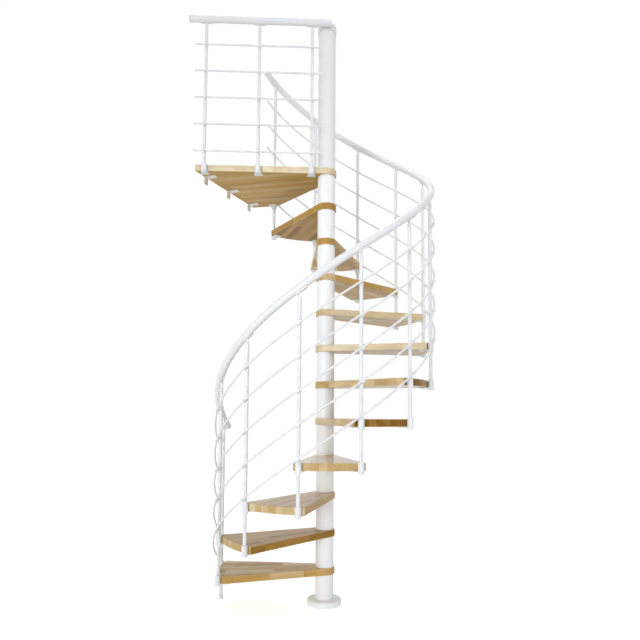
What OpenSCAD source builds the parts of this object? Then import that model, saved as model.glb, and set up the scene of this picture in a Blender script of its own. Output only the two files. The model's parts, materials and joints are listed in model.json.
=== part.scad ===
// Spiral staircase. Eleven wooden wedge treads and a triangular landing are
// threaded on a central pole, with a painted spacer tube under each. One
// baluster ties the back corner of every tread to the front corner of the
// next and carries a helical handrail and five thin helical rods.
// The floor is at zero and the column stands on the Z axis.

/* [Stair] */
// Height from one tread to the next
riser_h = 220; // [190:1:240]
// Turn from one tread to the next, in degrees
step_angle = 28.5; // [26:0.5:30]
// Turn of the lowest baluster from the X axis, in degrees
first_angle = 172.5; // [0:0.5:359.5]

/* [Column] */
// Outer diameter of the spacer tubes and the newel post
column_d = 108; // [90:1:130]
// Wall of the spacer tubes and the newel post
column_wall = 3; // [2:0.5:6]
// Diameter of the hidden pole that threads the treads together
pole_d = 50; // [40:1:70]
// How far the wooden hub of a tread stands out past the column
hub_lip = 7.5; // [6:0.5:20]
// Drop of the newel cap's rim under the landing handrail
cap_drop = 23; // [0:1:60]
// Wall of the newel post's cap round the post
cap_wall = 3.5; // [1.5:0.1:4]
// Height of the newel post's cap
cap_h = 66; // [55:1:90]
// Rise of the dome on the newel post's cap
cap_dome = 22; // [8:1:40]

/* [Base] */
// Diameter of the round floor flange
base_d = 203; // [160:1:260]
// Height of the floor flange
base_h = 36; // [20:1:60]
// Radius of the flange's rounded top edge
base_round = 10; // [4:1:16]

/* [Treads] */
// Radius of the curved outer edge of a tread
tread_r = 618.5; // [560:0.5:720]
// Thickness of the treads and the landing
tread_t = 40; // [30:1:50]
// How far a tread's corner stands past its baluster, along the edge
nose_over = 32; // [20:1:40]

/* [Landing] */
// Distance from the column to the landing's front corner
landing_reach = 810; // [740:1:900]
// Turn of the landing's front corner past the line of the second step, in degrees
landing_front_turn = 1.1; // [0:0.1:4]
// Run of the landing's back edge past the top baluster
landing_back_run = 153; // [120:1:190]
// Direction of the landing's back edge, from the top baluster's spoke, in degrees
landing_back_turn = 44; // [30:1:60]
// Height of the landing's handrail over the landing
landing_rail_h = 914; // [850:1:960]
// Distance along the front edge from the column to the first landing baluster
landing_first = 96; // [85:1:130]
// Spacing of the landing's balusters
landing_pitch = 327; // [260:1:345]
// How far the landing's handrail runs past its first baluster, over the column
landing_rail_in = 113; // [90:1:140]
// How far the landing's handrail runs past its last baluster
landing_rail_over = 98; // [80:1:140]
// Height of the lowest landing rod over the landing
landing_rod_low = 71; // [50:1:90]
// Distance of the highest landing rod under the landing's handrail
landing_rod_top = 171; // [150:1:230]
// How far the landing's rods run past their end balusters
landing_rod_over = 62; // [30:1:70]

/* [Balusters] */
// Diameter of a baluster
baluster_d = 20; // [16:1:22]
// Diameter of the sleeve that clamps a baluster to a tread
sleeve_d = 33; // [25:1:38]
// Height of the sleeve over the tread's top
sleeve_above = 4; // [2:1:7]
// Length of the sleeve under the tread's underside
sleeve_below = 14; // [8:1:24]
// Thickness of the clamp's plate under the tread
plate_t = 4; // [3:0.5:6]
// Reach of the clamp's plate from the baluster's axis
plate_run = 64; // [50:1:80]
// Width of the clamp's plate at its flared inner end
plate_flare = 56; // [40:1:60]
// Diameter of the pin at a baluster's top
neck_d = 13; // [8:0.5:16]
// Length of that pin that shows under the handrail
neck_h = 18; // [6:1:24]
// Diameter of the flared foot under the lowest baluster
foot_d = 30; // [28:1:50]
// Height of that foot
foot_h = 16; // [12:1:36]

/* [Handrail] */
// Diameter of the handrails
rail_d = 41; // [36:1:46]
// Height of the handrail over the front corner of a tread
rail_h = 883; // [820:1:940]
// How far the handrails stand outside the line of balusters
rail_offset = 5; // [4.5:0.5:6.5]
// Run of the handrail past the lowest baluster
rail_low_over = 84; // [60:1:160]
// Run of the handrail past the top baluster
rail_high_over = 72; // [50:1:90]
// Length of the saddle between a baluster and the handrail
saddle_len = 70; // [50:1:84]
// Width of the saddle
saddle_w = 24; // [23:1:30]
// Thickness of the saddle under the handrail
saddle_t = 3; // [2:0.5:5]
// Thickness of the end caps of the handrails
end_cap_t = 8; // [5:1:12]

/* [Rods] */
// Diameter of the rods
rod_d = 11; // [8:0.5:12]
// Height of the lowest rod over the front corner of a tread
rod_low = 20; // [16:1:40]
// Distance of the highest rod under the handrail
rod_top = 183; // [150:1:230]
// Distance of the rods outside the line of balusters
rod_offset = 20; // [19:0.5:30]
// Run of the rods past the lowest baluster
rod_low_over = 26; // [20:1:60]
// Run of the rods past the top baluster
rod_high_over = 56; // [20:1:70]
// Diameter of the rod holders on the balusters
holder_d = 18; // [17:0.5:20]

/* [Wall brackets] */
// Length of a bracket's leg under the landing
bracket_run = 80; // [60:1:100]
// Length of a bracket's leg on the wall
bracket_drop = 46; // [40:1:80]
// Width of a bracket
bracket_w = 38; // [30:1:46]
// Thickness of a bracket
bracket_t = 5; // [4:0.5:8]
// Diameter of the bolt hole in a bracket's wall leg
bracket_hole_d = 9; // [6:0.5:12]

/* [Hidden] */

$fn = 72;
tread_count = 11;
rod_count = 5;
landing_baluster_count = 3;
wood = "burlywood";
paint = "whitesmoke";
zinc = "silver";

// Clearances, overruns and small sizes of the fittings
pole_gap = 0.5;
slip_gap = 0.4;
seat_gap = 0.3;
hub_bite = 0.5;
overrun = 4;
cap_skirt = 40;
foot_floor = 4;
foot_rim = 5;
foot_wall = 2.4;
sleeve_round = 2;
saddle_wrap = 3;
holder_wrap = 8;
end_cap_lip = 1.5;
end_cap_round = 3;

// Shares of the lengths that they follow
edge_reach_share = 1.2;
bracket_shares = [0.165, 0.535, 0.915];

// Sides of the swept tubes, rings between two balusters, and sides of a tread's curved edge
rail_sides = 16;
rod_sides = 8;
rail_rings = 4;
rod_rings = 3;
edge_sides = 360;

hub_r = column_d / 2 + hub_lip;
edge_r = hub_r - hub_bite;
top_index = tread_count;
landing_z = (tread_count + 1) * riser_h;
baluster_seat = seat_gap + sleeve_d / 2;
baluster_circle = tread_r + baluster_seat;
rise_per_degree = riser_h / step_angle;
tread_half_angle = step_angle / 2 + asin(nose_over / tread_r);
cap_low = landing_z + landing_rail_h - cap_drop;
post_top = cap_low + cap_skirt;
saddle_drop = rail_d / 2 + saddle_t;
rod_heights = even_heights(rod_low, rail_h - rod_top);
landing_rod_heights = even_heights(landing_rod_low, landing_rail_h - landing_rod_top);

// Half lengths of the straight runs of the swept tubes through their fittings
rail_flat = saddle_len / 2 + overrun;
rod_flat = holder_d / 2 + overrun;

function on_circle(r, a) = [r * cos(a), r * sin(a)];
function baluster_angle(i) = first_angle + i * step_angle;
function tread_top(k) = k * riser_h;

// Heights of the rods, evenly spread from the lowest to the highest
function even_heights(low, high) = [
    for (j = [0 : rod_count - 1]) low + (high - low) * j / (rod_count - 1)
];

// Point just inside the hub's rim where a straight edge from corner p ends
function hub_touch(p, side) = on_circle(edge_r, atan2(p[1], p[0]) + side * acos(edge_r / norm(p)));

// Half angle of a straight run of a swept tube, the radius of its path and its slope
function flat_angle(offset, flat) = atan(flat / (baluster_circle + offset));
function path_r(offset, flat) = (baluster_circle + offset) / cos(flat_angle(offset, flat));
function flat_slope(offset, flat) = atan(flat_angle(offset, flat) * rise_per_degree / flat);

rail_slope = flat_slope(rail_offset, rail_flat);
rod_slope = flat_slope(rod_offset, rod_flat);
rail_path_r = path_r(rail_offset, rail_flat);
rod_path_r = path_r(rod_offset, rod_flat);

// Angle that a run along a circular path turns through
function run_angle(run, r) = run / r * 180 / PI;

// Slope of a helix at a radius
function helix_slope(r) = atan(rise_per_degree * 180 / PI / r);

// Corners of the landing: at the front, at the back of the wall edge and at the nosing
front_corner_angle = baluster_angle(tread_count + 2) + asin(nose_over / tread_r) + landing_front_turn;
front_corner = on_circle(landing_reach, front_corner_angle);
front_dir = front_corner_angle - asin(edge_r / landing_reach);
top_baluster = on_circle(baluster_circle, baluster_angle(top_index));
back_dir_angle = baluster_angle(top_index) + landing_back_turn;
back_dir = on_circle(1, back_dir_angle);
back_normal_angle = back_dir_angle - 90;
back_seat = top_baluster - baluster_seat * on_circle(1, back_normal_angle);
back_corner = back_seat + landing_back_run * back_dir;
nosing_corner = back_seat - nose_over * back_dir;
wall_run = back_corner - front_corner;
wall_dir = atan2(wall_run[1], wall_run[0]);

// Ends of the landing's handrail, along the front edge from the column
landing_run = (landing_baluster_count - 1) * landing_pitch;
landing_rail_start = landing_first - landing_rail_in;
landing_rail_end = landing_first + landing_run + landing_rail_over;

// Places the children at a baluster, with X pointing out of the stair and Y up the stair
module at_baluster(i) {
    rotate([0, 0, baluster_angle(i)]) translate([baluster_circle, 0, 0]) children();
}

// Places the children at a landing baluster, with X pointing out over the front edge
module at_landing_baluster(n) {
    along = landing_first + n * landing_pitch;
    rotate([0, 0, front_dir]) translate([along, edge_r + baluster_seat, 0]) rotate([0, 0, 90]) children();
}

// Places the children on the landing handrail's axis, with X along the front edge
module on_landing_rail(along) {
    rotate([0, 0, front_dir])
        translate([along, edge_r + baluster_seat + rail_offset, landing_z + landing_rail_h]) children();
}

// Outline of a tread that points along X
module tread_outline() {
    low_corner = on_circle(tread_r, -tread_half_angle);
    high_corner = on_circle(tread_r, tread_half_angle);
    low_touch = hub_touch(low_corner, -1);
    high_touch = hub_touch(high_corner, 1);
    low_end = low_touch + (low_corner - low_touch) * edge_reach_share;
    high_end = high_touch + (high_corner - high_touch) * edge_reach_share;
    difference() {
        union() {
            intersection() {
                polygon([low_touch, low_end, high_end, high_touch]);
                circle(r = tread_r, $fn = edge_sides);
            }
            circle(r = hub_r);
        }
        circle(d = pole_d + 2 * pole_gap);
    }
}

module landing_outline() {
    difference() {
        union() {
            polygon([
                hub_touch(nosing_corner, -1), nosing_corner, back_corner,
                front_corner, hub_touch(front_corner, 1)
            ]);
            circle(r = hub_r);
        }
        circle(d = pole_d + 2 * pole_gap);
    }
}

// Round tube of a wall
module tube(d, wall, h) {
    difference() {
        cylinder(d = d, h = h);
        translate([0, 0, -overrun]) cylinder(d = d - 2 * wall, h = h + 2 * overrun);
    }
}

// Angles of the rings of a swept tube: two at each baluster and some between
function sweep_angles(low, high, half, rings) = concat(
    [low],
    [for (i = [0 : top_index]) each concat(
        [baluster_angle(i) - half, baluster_angle(i) + half],
        i == top_index ? [] : [for (m = [1 : rings])
            baluster_angle(i) + half + (step_angle - 2 * half) * m / (rings + 1)]
    )],
    [high]
);

// One ring of a tube of radius r around a helix of radius path, at angle a
function ring(path, r, sides, a, z) = let (s = helix_slope(path)) [
    for (q = [0 : sides - 1]) let (c = r * cos(360 * q / sides), n = r * sin(360 * q / sides)) [
        (path + c) * cos(a) + n * sin(a) * sin(s),
        (path + c) * sin(a) - n * cos(a) * sin(s),
        z + n * cos(s)
    ]
];

// Tube swept along a helix that passes the lowest baluster at height z
module helix_tube(path, r, sides, angles, z) {
    last = len(angles) - 1;
    points = [for (a = angles) each ring(path, r, sides, a, z + (a - first_angle) * rise_per_degree)];
    walls = [for (k = [0 : last - 1], q = [0 : sides - 1]) let (p = (q + 1) % sides) [
        k * sides + q, k * sides + p, (k + 1) * sides + p, (k + 1) * sides + q
    ]];
    low_end = [for (q = [sides - 1 : -1 : 0]) q];
    high_end = [for (q = [0 : sides - 1]) last * sides + q];
    polyhedron(points, concat(walls, [low_end, high_end]));
}

// Profile of a disc whose upper rim is rounded
module rim_profile(r, h, rim) {
    square([r, h - rim]);
    square([r - rim, h]);
    translate([r - rim, h - rim]) intersection() {
        circle(r = rim);
        square([rim, rim]);
    }
}

// Sleeve round a baluster with a flared plate under the tread; zero is the tread's top
module clamp() {
    sleeve_low = -tread_t - sleeve_below;
    sleeve_h = sleeve_above - sleeve_low;
    difference() {
        union() {
            translate([0, 0, sleeve_above]) mirror([0, 0, 1]) rotate_extrude()
                rim_profile(sleeve_d / 2, sleeve_h, sleeve_round);
            translate([0, 0, -tread_t - plate_t]) linear_extrude(plate_t) polygon([
                [0, -sleeve_d / 2], [0, sleeve_d / 2],
                [-plate_run, plate_flare / 2], [-plate_run, -plate_flare / 2]
            ]);
        }
        translate([0, 0, sleeve_low - overrun])
            cylinder(d = baluster_d + 2 * slip_gap, h = sleeve_h + 2 * overrun);
    }
}

// Baluster with its rod holders and the pin under the handrail
module baluster_post(low_z, rail_z, slope, holder_slope, rod_zs) {
    tube_top = rail_z - saddle_drop / cos(slope) - baluster_d / 2 * tan(slope) - neck_h;
    difference() {
        union() {
            translate([0, 0, low_z]) cylinder(d = baluster_d, h = tube_top - low_z);
            translate([0, 0, tube_top]) cylinder(d = neck_d, h = rail_z - tube_top);
            for (z = rod_zs) translate([0, 0, z]) rotate([0, 90, 0])
                cylinder(d = holder_d, h = rod_offset + holder_wrap);
        }
        translate([rail_offset, 0, rail_z]) rotate([slope, 0, 0])
            translate([-rail_d, -rail_d, -saddle_drop]) cube([2 * rail_d, 2 * rail_d, 2 * rail_d]);
        for (z = rod_zs) translate([rod_offset, 0, z]) rotate([holder_slope - 90, 0, 0])
            cylinder(d = rod_d + 2 * slip_gap, h = 2 * holder_d, center = true);
    }
}

// Grooved strip between a baluster's pin and the handrail
module saddle(rail_z, slope) {
    translate([rail_offset, 0, rail_z]) rotate([slope, 0, 0]) difference() {
        translate([-saddle_w / 2, -saddle_len / 2, -saddle_drop])
            cube([saddle_w, saddle_len, saddle_t + saddle_wrap]);
        rotate([90, 0, 0])
            cylinder(d = rail_d + 2 * seat_gap, h = saddle_len + 2 * overrun, center = true);
    }
}

// End cap of a handrail, on the plane at zero
module end_cap() {
    rotate_extrude() rim_profile(rail_d / 2 + end_cap_lip, end_cap_t, end_cap_round);
}

module base_flange() {
    color(paint) rotate_extrude() rim_profile(base_d / 2, base_h, base_round);
}

module central_pole() {
    color(zinc) translate([0, 0, base_h]) cylinder(d = pole_d, h = post_top - base_h);
}

module column_spacers() {
    color(paint) {
        translate([0, 0, base_h]) tube(column_d, column_wall, riser_h - tread_t - base_h);
        for (k = [1 : tread_count])
            translate([0, 0, tread_top(k)]) tube(column_d, column_wall, riser_h - tread_t);
    }
}

module tread(k) {
    color(wood) rotate([0, 0, (baluster_angle(k - 1) + baluster_angle(k)) / 2])
        translate([0, 0, tread_top(k) - tread_t]) linear_extrude(tread_t) tread_outline();
}

module landing() {
    color(wood) translate([0, 0, landing_z - tread_t]) linear_extrude(tread_t) landing_outline();
}

module newel_post() {
    color(paint) translate([0, 0, landing_z]) tube(column_d, column_wall, post_top - landing_z);
}

module post_cap() {
    bore_r = column_d / 2 + slip_gap;
    cap_r = bore_r + cap_wall;
    dome_r = (pow(cap_r, 2) + pow(cap_dome, 2)) / (2 * cap_dome);
    color(paint) translate([0, 0, cap_low]) difference() {
        intersection() {
            cylinder(r = cap_r, h = cap_h);
            translate([0, 0, cap_h - dome_r]) sphere(r = dome_r);
        }
        translate([0, 0, -overrun]) cylinder(r = bore_r, h = cap_skirt + overrun);
    }
}

module baluster(i) {
    low_z = i == 0 ? foot_floor : tread_top(i) - tread_t - sleeve_below;
    nosing_z = tread_top(i + 1);
    color(paint) at_baluster(i) baluster_post(
        low_z, nosing_z + rail_h, rail_slope, rod_slope, [for (h = rod_heights) nosing_z + h]
    );
}

module handrail() {
    color(paint) helix_tube(
        rail_path_r, rail_d / 2, rail_sides,
        sweep_angles(
            first_angle - run_angle(rail_low_over, rail_path_r),
            baluster_angle(top_index) + run_angle(rail_high_over, rail_path_r),
            flat_angle(rail_offset, rail_flat), rail_rings
        ),
        riser_h + rail_h
    );
}

module rod(j) {
    color(paint) helix_tube(
        rod_path_r, rod_d / 2, rod_sides,
        sweep_angles(
            first_angle - run_angle(rod_low_over, rod_path_r),
            baluster_angle(top_index) + run_angle(rod_high_over, rod_path_r),
            flat_angle(rod_offset, rod_flat), rod_rings
        ),
        riser_h + rod_heights[j]
    );
}

// Clamps at both outer corners of every tread, at the landing's nosing and along its front edge
module baluster_clamps() {
    color(paint) {
        for (i = [0 : top_index - 1]) at_baluster(i) translate([0, 0, tread_top(i + 1)]) clamp();
        for (i = [1 : top_index]) at_baluster(i) translate([0, 0, tread_top(i)]) clamp();
        translate([top_baluster[0], top_baluster[1], landing_z]) rotate([0, 0, back_normal_angle]) clamp();
        for (n = [0 : landing_baluster_count - 1])
            at_landing_baluster(n) translate([0, 0, landing_z]) clamp();
    }
}

module floor_foot() {
    bore_r = baluster_d / 2 + slip_gap;
    color(paint) at_baluster(0) rotate_extrude() polygon([
        [0, 0], [foot_d / 2, 0], [foot_d / 2, foot_rim], [bore_r + foot_wall, foot_h],
        [bore_r, foot_h], [bore_r, foot_floor], [0, foot_floor]
    ]);
}

module rail_saddles() {
    color(paint) for (i = [0 : top_index])
        at_baluster(i) saddle(tread_top(i + 1) + rail_h, rail_slope);
}

module rail_end_caps() {
    slope = helix_slope(rail_path_r);
    low_turn = run_angle(rail_low_over, rail_path_r);
    high_turn = run_angle(rail_high_over, rail_path_r);
    low_z = riser_h + rail_h - low_turn * rise_per_degree;
    high_z = landing_z + rail_h + high_turn * rise_per_degree;
    color(paint) {
        rotate([0, 0, first_angle - low_turn]) translate([rail_path_r, 0, low_z])
            rotate([slope + 90, 0, 0]) end_cap();
        rotate([0, 0, baluster_angle(top_index) + high_turn]) translate([rail_path_r, 0, high_z])
            rotate([slope - 90, 0, 0]) end_cap();
    }
}

module landing_balusters() {
    low_z = landing_z - tread_t - sleeve_below;
    color(paint) for (n = [0 : landing_baluster_count - 1]) at_landing_baluster(n) baluster_post(
        low_z, landing_z + landing_rail_h, 0, 0, [for (h = landing_rod_heights) landing_z + h]
    );
}

module landing_handrail() {
    color(paint) on_landing_rail(landing_rail_start) rotate([0, 90, 0])
        cylinder(d = rail_d, h = landing_rail_end - landing_rail_start);
}

module landing_rods() {
    rod_start = landing_first - landing_rod_over;
    rod_run = landing_run + 2 * landing_rod_over;
    color(paint) for (h = landing_rod_heights) rotate([0, 0, front_dir])
        translate([rod_start, edge_r + baluster_seat + rod_offset, landing_z + h])
        rotate([0, 90, 0]) cylinder(d = rod_d, h = rod_run);
}

module landing_saddles() {
    color(paint) for (n = [0 : landing_baluster_count - 1])
        at_landing_baluster(n) saddle(landing_z + landing_rail_h, 0);
}

module landing_end_caps() {
    color(paint) {
        on_landing_rail(landing_rail_start) rotate([0, -90, 0]) end_cap();
        on_landing_rail(landing_rail_end) rotate([0, 90, 0]) end_cap();
    }
}

// Angle brackets under the wall edge, each with a bolt hole in its wall leg
module wall_brackets() {
    hole_z = -(bracket_t + bracket_drop) / 2;
    color(zinc) for (share = bracket_shares) {
        seat = front_corner + share * wall_run;
        translate([seat[0], seat[1], landing_z - tread_t]) rotate([0, 0, wall_dir + 90]) difference() {
            translate([0, bracket_w / 2, 0]) rotate([90, 0, 0]) linear_extrude(bracket_w) polygon([
                [0, 0], [0, -bracket_drop], [-bracket_t, -bracket_drop],
                [-bracket_t, -bracket_t], [-bracket_run, -bracket_t], [-bracket_run, 0]
            ]);
            translate([-bracket_t - overrun, 0, hole_z]) rotate([0, 90, 0])
                cylinder(d = bracket_hole_d, h = bracket_t + 2 * overrun);
        }
    }
}

base_flange();
central_pole();
column_spacers();
tread(1);  // tread_01
tread(2);  // tread_02
tread(3);  // tread_03
tread(4);  // tread_04
tread(5);  // tread_05
tread(6);  // tread_06
tread(7);  // tread_07
tread(8);  // tread_08
tread(9);  // tread_09
tread(10);  // tread_10
tread(11);  // tread_11
landing();
newel_post();
post_cap();
baluster(0);  // baluster_00
baluster(1);  // baluster_01
baluster(2);  // baluster_02
baluster(3);  // baluster_03
baluster(4);  // baluster_04
baluster(5);  // baluster_05
baluster(6);  // baluster_06
baluster(7);  // baluster_07
baluster(8);  // baluster_08
baluster(9);  // baluster_09
baluster(10);  // baluster_10
baluster(11);  // baluster_11
handrail();
rod(0);  // rod_1
rod(1);  // rod_2
rod(2);  // rod_3
rod(3);  // rod_4
rod(4);  // rod_5
baluster_clamps();
floor_foot();
rail_saddles();
rail_end_caps();
landing_balusters();
landing_handrail();
landing_rods();
landing_saddles();
landing_end_caps();
wall_brackets();
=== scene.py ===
"""Dresses the spiral staircase: lacquered beech steps, white powder-coated steel and zinc brackets."""

from __future__ import annotations

import json
import logging
import math
import random
from contextlib import contextmanager
from dataclasses import dataclass, field
from enum import Enum
from typing import Callable, Iterable, Iterator, NamedTuple, Optional, Sequence, Union

import bpy
from bpy.types import Material, Mesh, Node, NodeOutputs, NodeSocket, NodeTree, Object
from mathutils import Matrix, Vector

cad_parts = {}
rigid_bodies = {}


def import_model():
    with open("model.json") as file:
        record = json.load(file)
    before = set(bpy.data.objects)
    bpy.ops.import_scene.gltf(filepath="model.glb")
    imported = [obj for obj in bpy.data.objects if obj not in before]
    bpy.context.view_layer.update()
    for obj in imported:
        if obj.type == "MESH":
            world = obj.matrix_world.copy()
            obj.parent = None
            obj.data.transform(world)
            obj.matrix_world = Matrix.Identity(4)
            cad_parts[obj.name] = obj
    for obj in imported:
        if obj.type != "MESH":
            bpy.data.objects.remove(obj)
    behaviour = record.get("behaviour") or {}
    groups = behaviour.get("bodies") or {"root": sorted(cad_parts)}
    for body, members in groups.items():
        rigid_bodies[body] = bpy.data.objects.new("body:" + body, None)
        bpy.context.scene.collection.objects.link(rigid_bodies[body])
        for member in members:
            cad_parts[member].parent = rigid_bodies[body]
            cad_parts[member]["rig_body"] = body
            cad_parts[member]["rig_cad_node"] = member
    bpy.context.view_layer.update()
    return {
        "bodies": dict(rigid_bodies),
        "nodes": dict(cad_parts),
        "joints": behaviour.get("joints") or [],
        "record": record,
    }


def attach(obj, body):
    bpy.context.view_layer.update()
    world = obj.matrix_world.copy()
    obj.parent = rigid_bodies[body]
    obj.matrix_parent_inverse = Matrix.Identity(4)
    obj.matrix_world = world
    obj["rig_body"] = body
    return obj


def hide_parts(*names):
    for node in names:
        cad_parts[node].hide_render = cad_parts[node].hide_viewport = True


LOG = logging.getLogger("staircase")
BODY = "root"
WHITE = (1.0, 1.0, 1.0)
VECTORS = ("Place", "Shift")

# Modelling limits, in metres and radians, and how nearly a face has to look along Z
MERGE_GAP = 0.00002
FLAT_TURN = math.radians(0.4)
SMOOTH_TURN = math.radians(35.0)
FACING = 0.9

Colour = tuple[float, float, float]
Place = tuple[float, float, float]
Span = tuple[float, float]
Feed = Union[NodeSocket, float, Sequence[float]]
Feeds = dict[Union[int, str], Feed]


class Slot(Enum):
    """Material slots of the part's record."""

    WOOD = "wood"
    PAINT = "paint"
    ZINC = "zinc"


class Drive(Enum):
    """How a screw sits in its hole."""

    BUTTON = "button"
    GRUB = "grub"


class Part(Enum):
    """Parts of a mesh that an edit selects."""

    CORNER = "VERT"
    EDGE = "EDGE"
    FACE = "FACE"


# Shader graph helpers


class Graph:
    """Adds and joins the nodes of one shader tree."""

    def __init__(self, tree: NodeTree) -> None:
        """Keeps the tree that the nodes go into."""
        self.tree = tree

    def add(self, kind: str, feeds: Optional[Feeds] = None, **settings: object) -> Node:
        """Adds a node.

        Args:
            kind: The node's type name without its ShaderNode prefix.
            feeds: What its inputs get.
            settings: Properties of the node.

        Returns:
            The new node.
        """
        node = self.tree.nodes.new("ShaderNode" + kind)
        for name, value in settings.items():
            setattr(node, name, value)
        self.feed(node, feeds or {})
        return node

    def feed(self, node: Node, feeds: Feeds) -> None:
        """Links inputs of a node to other sockets, or sets their own values.

        Args:
            node: The node that is fed.
            feeds: A socket, a number, a vector or a colour for each input, by its name or number.
        """
        for name, value in feeds.items():
            socket = node.inputs[name]
            if isinstance(value, NodeSocket):
                self.tree.links.new(value, socket)
            elif socket.type == "RGBA":
                socket.default_value = (*value, 1.0)
            else:
                socket.default_value = value

    def math(self, operation: str, first: Feed, second: Feed = 0.0) -> NodeSocket:
        """Returns what an operation makes of two numbers."""
        return self.add("Math", {0: first, 1: second}, operation=operation).outputs[0]

    def plus(self, first: Feed, second: Feed) -> NodeSocket:
        """Returns the sum of two numbers."""
        return self.math("ADD", first, second)

    def times(self, first: Feed, second: Feed) -> NodeSocket:
        """Returns the product of two numbers."""
        return self.math("MULTIPLY", first, second)

    def vector_math(self, operation: str, first: Feed, second: Feed) -> NodeSocket:
        """Returns what an operation makes of two vectors."""
        return self.add("VectorMath", {0: first, 1: second}, operation=operation).outputs[0]

    def axes(self, vector: Feed) -> NodeOutputs:
        """Returns a vector's three numbers."""
        return self.add("SeparateXYZ", {0: vector}).outputs

    def stretch(self, value: Feed, low: float, high: float) -> NodeSocket:
        """Returns a number from 0 to 1 as one from low to high."""
        return self.add("MapRange", {"Value": value, "To Min": low, "To Max": high}).outputs["Result"]

    def blend(self, share: Feed, first: Feed, second: Feed, kind: str = "MIX") -> NodeSocket:
        """Returns a mix of two colours with a share of the second."""
        feeds = {0: share, 6: first, 7: second}
        return self.add("Mix", feeds, data_type="RGBA", blend_type=kind).outputs[2]

    def tint(self, first: Feed, second: Feed) -> NodeSocket:
        """Returns the product of two colours."""
        return self.blend(1.0, first, second, "MULTIPLY")

    def noise(self, place: Feed, detail: float, roughness: float, scale: float = 1.0) -> NodeSocket:
        """Returns a noise pattern with a number of finer layers of some strength."""
        feeds = {"Vector": place, "Scale": scale, "Detail": detail, "Roughness": roughness}
        return self.add("TexNoise", feeds).outputs["Fac"]

    def bump(self, height: Feed, strength: float, depth: float) -> NodeSocket:
        """Returns the normal of a surface that a height pattern makes uneven."""
        feeds = {"Height": height, "Strength": strength, "Distance": depth}
        return self.add("Bump", feeds).outputs["Normal"]

    def attribute(self, name: str) -> NodeOutputs:
        """Returns the outputs of an attribute of the mesh."""
        return self.add("Attribute", attribute_name=name).outputs

    def object_place(self) -> NodeSocket:
        """Returns the object's own coordinates."""
        return self.add("TexCoord").outputs["Object"]

    def group(self, tree: NodeTree, **values: Feed) -> NodeOutputs:
        """Returns a node group's outputs; its inputs' names have underscores for spaces."""
        feeds = {name.replace("_", " "): value for name, value in values.items()}
        return self.add("Group", feeds, node_tree=tree).outputs


def new_group(name: str, inputs: Sequence[str], outputs: Sequence[str]) -> tuple[Graph, NodeOutputs, Node]:
    """Starts a shader node group, whose sockets are numbers apart from VECTORS.

    Args:
        name: The group's name.
        inputs: Names of the input sockets.
        outputs: Names of the output sockets.

    Returns:
        The group's graph, what it is given, and the node that takes its results.
    """
    tree = bpy.data.node_groups.new(name, "ShaderNodeTree")
    for side, labels in (("INPUT", inputs), ("OUTPUT", outputs)):
        for label in labels:
            kind = "NodeSocketVector" if label in VECTORS else "NodeSocketFloat"
            tree.interface.new_socket(name=label, in_out=side, socket_type=kind)
    return Graph(tree), tree.nodes.new("NodeGroupInput").outputs, tree.nodes.new("NodeGroupOutput")


def new_material(name: str) -> tuple[Material, Graph, Node]:
    """Starts a material with one shader.

    Args:
        name: The material's name.

    Returns:
        The material, its graph and its shader node.
    """
    material = bpy.data.materials.new(name)
    material.use_nodes = True
    return material, Graph(material.node_tree), material.node_tree.nodes["Principled BSDF"]


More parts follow.
